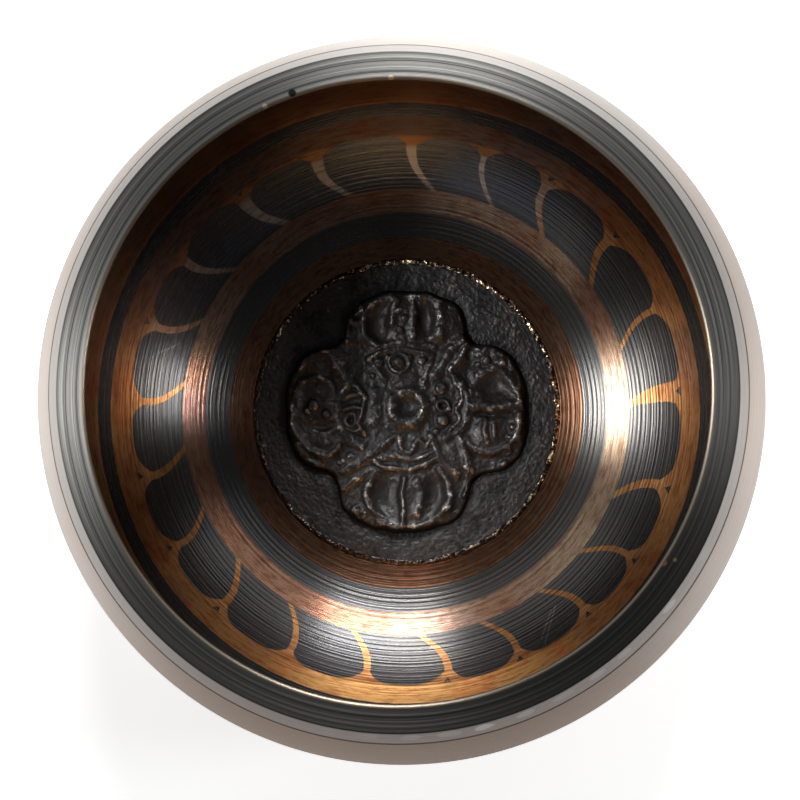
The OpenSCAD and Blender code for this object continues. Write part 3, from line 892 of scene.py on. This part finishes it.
def ragged_bead(finish):
    """The burr round the disc: a low ring whose height and width break up in lumps."""
    columns, count = 1400, 11
    turn = np.arange(columns) * 2 * np.pi / columns
    a = np.linspace(0, math.pi, count)[:, None]
    flat_r = 24.9 - 0.50 * np.cos(a)
    x, y = flat_r * np.cos(turn), flat_r * np.sin(turn)
    swell = 0.55 + 0.45 * cast_skin(x, y, 0.9, 51, 2) + 0.35 * cast_skin(x, y, 0.35, 57, 1)
    r = flat_r + 0.10 * lumps(x, y, 0.7, 55)
    z = FLOOR_Z + 0.02 + 0.34 * np.sin(a) * np.clip(swell, 0.08, 1.05)
    top = np.stack([r * np.cos(turn), r * np.sin(turn), z], axis=-1)
    low = top * np.array([1, 1, 0]) + np.array([0, 0, FLOOR_Z - 0.3])
    tube = np.concatenate([top, low[[-1, 0]]])
    rings = len(tube)
    i, j = np.arange(rings)[:, None], np.arange(columns)[None, :]
    ni, nj = (i + 1) % rings, (j + 1) % columns
    faces = np.stack([i * columns + j, ni * columns + j, ni * columns + nj, i * columns + nj], axis=-1)
    return closed_piece("burnished_bead", tube.reshape(-1, 3), faces.reshape(-1, 4).tolist(), finish)


def blackened_cast(name):
    """Cast bronze, blackened and oiled: black in the hollows, brown in the eyes, with painted glints (painted
    highlights) on the heights and painted shadow along the plate's edge and in the moat beside it."""
    f = Finish(bpy.data.materials.new(name))
    place_in = f.position()
    wear_and_shade = f.node("ShaderNodeAttribute", {"attribute_name": "wear_and_shade"}, output="Fac")
    eye = f.node("ShaderNodeAttribute", {"attribute_name": "eye"}, output="Fac")
    cloud = f.noise(place_in, 130.0, 3.0, 0.6)
    grain = f.noise(place_in, 1500.0, 2.0, 0.7)
    glints = f.noise(place_in, 850.0, 2.0, 0.6)
    warm = f.noise(place_in, 210.0, 1.0, 0.5).step(0.48, 0.68)
    colour = f.mix(cloud.step(0.3, 0.7), (0.044, 0.044, 0.046), (0.056, 0.053, 0.052))
    colour = f.mix(warm * 0.5, colour, (0.058, 0.050, 0.049))
    colour = f.mix(eye.step(0.4, 0.9) * 0.7, colour, (0.040, 0.036, 0.036))
    colour = f.mix(wear_and_shade.step(0.60, 0.95) * 0.8, colour, (0.110, 0.107, 0.105))
    # Painted highlights: pale specks on the heights, painted as glints of the lamps.
    bare = glints.step(0.54, 0.66) * wear_and_shade.step(0.45, 0.85)
    colour = f.mix(bare * 0.8, colour, (0.50, 0.48, 0.45))
    # Near black where the number is low: patina in the hollows, and painted shadow along the plate's edge and
    # in the moat.
    colour = f.mix(wear_and_shade.step(0.32, 0.05), colour, (0.020, 0.019, 0.021))
    rough = 0.36 + 0.30 * (grain - 0.5) + wear_and_shade.step(0.6, 0.2) * 0.14
    normal = f.bump(grain * (1.0 - 0.6 * eye) + cloud * 0.6, 0.14, 1.0)
    return f.metal(colour, rough, 0.65, normal)


def burnished(name):
    """The bead: dark scale with bare gold-coloured flecks, more of them towards +Y and +X."""
    f = Finish(bpy.data.materials.new(name))
    place_in = f.position()
    x, y, z = f.axes(place_in)
    flecks = f.noise(place_in, 1500.0, 2.0, 0.6)
    side = (y * 30.0 + x * 24.0).at_most(1.0).at_least(-1.0)
    height = z * (1 / MM) - FLOOR_Z
    bare = (flecks + side * 0.12 + height * 0.08).step(0.59, 0.66)
    colour = f.mix(bare, (0.050, 0.040, 0.035), (0.62, 0.48, 0.31))
    normal = f.bump(flecks, 0.12, 0.8)
    return f.metal(colour, 0.30, 1.0, normal)


SIDES = ("east", "north", "west", "south")
CORNERS = ("northeast", "northwest", "southwest", "southeast")

cast = blackened_cast("cast_bronze")
place(turned_bowl(turned_metal()), "turned_bronze", "bowl_body")
place(cast_relief(cast), "cast_bronze", "relief_plate", "hub_boss",
      *[f"{kind}_{side}" for kind in ("lotus_collar", "vajra_head") for side in SIDES],
      *[f"corner_leaf_{corner}" for corner in CORNERS])
place(rough_disc(cast), "cast_bronze", "floor_medallion")
place(ragged_bead(burnished("burnished_edge")), "burnished_edge", "edge_bead")

# ---------------------------------------------------------------- stage, lights and camera


def stage_floor():
    """A wide pale floor under the bowl."""
    f = Finish(bpy.data.materials.new("pale_floor"))
    shader = f.node("ShaderNodeBsdfPrincipled", {}, {
        "Base Color": (0.93, 0.93, 0.93, 1), "Roughness": 0.9,
        "Emission Color": (1, 1, 1, 1), "Emission Strength": 0.70})
    material = f.finish_with(shader)
    bpy.ops.mesh.primitive_circle_add(vertices=96, radius=3.0, fill_type="NGON")
    floor = bpy.context.object
    floor.name = "floor"
    floor.data.materials.append(material)
    return floor


def softbox(name, clockwise, elevation, width, height, watts):
    """A lamp a metre from the bowl's middle, which it faces, in a direction clockwise from +Y."""
    a, e = math.radians(clockwise), math.radians(elevation)
    middle = Vector((0, 0, 0.01))
    spot = middle + Vector((math.sin(a) * math.cos(e), math.cos(a) * math.cos(e), math.sin(e)))
    lamp = bpy.data.lights.new(name, "AREA")
    lamp.shape = "RECTANGLE"
    lamp.size, lamp.size_y = width, height
    lamp.energy = watts
    thing = bpy.data.objects.new(name, lamp)
    thing.location = spot
    thing.rotation_euler = (middle - spot).to_track_quat("-Z", "Y").to_euler()
    bpy.context.scene.collection.objects.link(thing)
    return thing


def keep_off(lamp, thing):
    """The lamp doesn't light the thing, so the thing shows no shadow from it."""
    group = bpy.data.collections.new(lamp.name + "_off")
    group.objects.link(thing)
    lamp.light_linking.receiver_collection = group
    group.collection_objects[0].light_linking.link_state = "EXCLUDE"


def dim_room():
    """The room's own light: a pale horizon, dim above it and dimmest towards -Y and +X, white where seen."""
    room = Finish(bpy.data.worlds.new("room"))
    x, y, z = room.axes(room.node("ShaderNodeTexCoord", output="Generated"))
    bright_side = (x * -0.6 + y * 0.8).step(-0.3, 1.0)
    horizon = z.step(0.32, 0.10)
    strength = 0.05 + 0.17 * bright_side + 0.35 * horizon
    felt = room.node("ShaderNodeBackground", {}, {"Color": (1, 1, 1, 1), "Strength": strength})
    seen = room.node("ShaderNodeBackground", {}, {"Color": (1, 1, 1, 1), "Strength": 1.0})
    path = room.node("ShaderNodeLightPath", output="Is Camera Ray")
    either = room.node("ShaderNodeMixShader", {}, {0: path, 1: felt, 2: seen})
    bpy.context.scene.world = room.finish_with(either, "ShaderNodeOutputWorld")


def look_down():
    """The camera, a little towards -Y and +X of straight above, with +Y up in the picture."""
    eye = Vector((9.74, -22.63, 369.5)) * MM
    aim = Vector((-0.64, 0.99, 20.0)) * MM
    back = (eye - aim).normalized()
    right = Vector((0, 1, 0)).cross(back).normalized()
    up = back.cross(right)
    lens = bpy.data.cameras.new("camera")
    lens.lens = 99.1
    lens.sensor_width = 36.0
    lens.clip_start = 0.01
    camera = bpy.data.objects.new("camera", lens)
    camera.matrix_world = Matrix((
        (right.x, up.x, back.x, eye.x), (right.y, up.y, back.y, eye.y),
        (right.z, up.z, back.z, eye.z), (0, 0, 0, 1)))
    bpy.context.scene.collection.objects.link(camera)
    bpy.context.scene.camera = camera


floor = stage_floor()
west = softbox("west_window", 274, 53, 0.17, 0.19, 4.8)
softbox("north_window", 3, 43, 0.36, 0.20, 7.0)
softbox("northeast_fill", 32, 45, 0.60, 0.40, 0.8)
softbox("northwest_fill", 325, 45, 0.60, 0.40, 0.5)
softbox("southwest_fill", 215, 42, 0.60, 0.40, 0.4)
softbox("east_window", 91, 38, 0.18, 0.18, 1.8)
keep_off(west, floor)
dim_room()
look_down()
bpy.context.scene.view_settings.view_transform = "Standard"
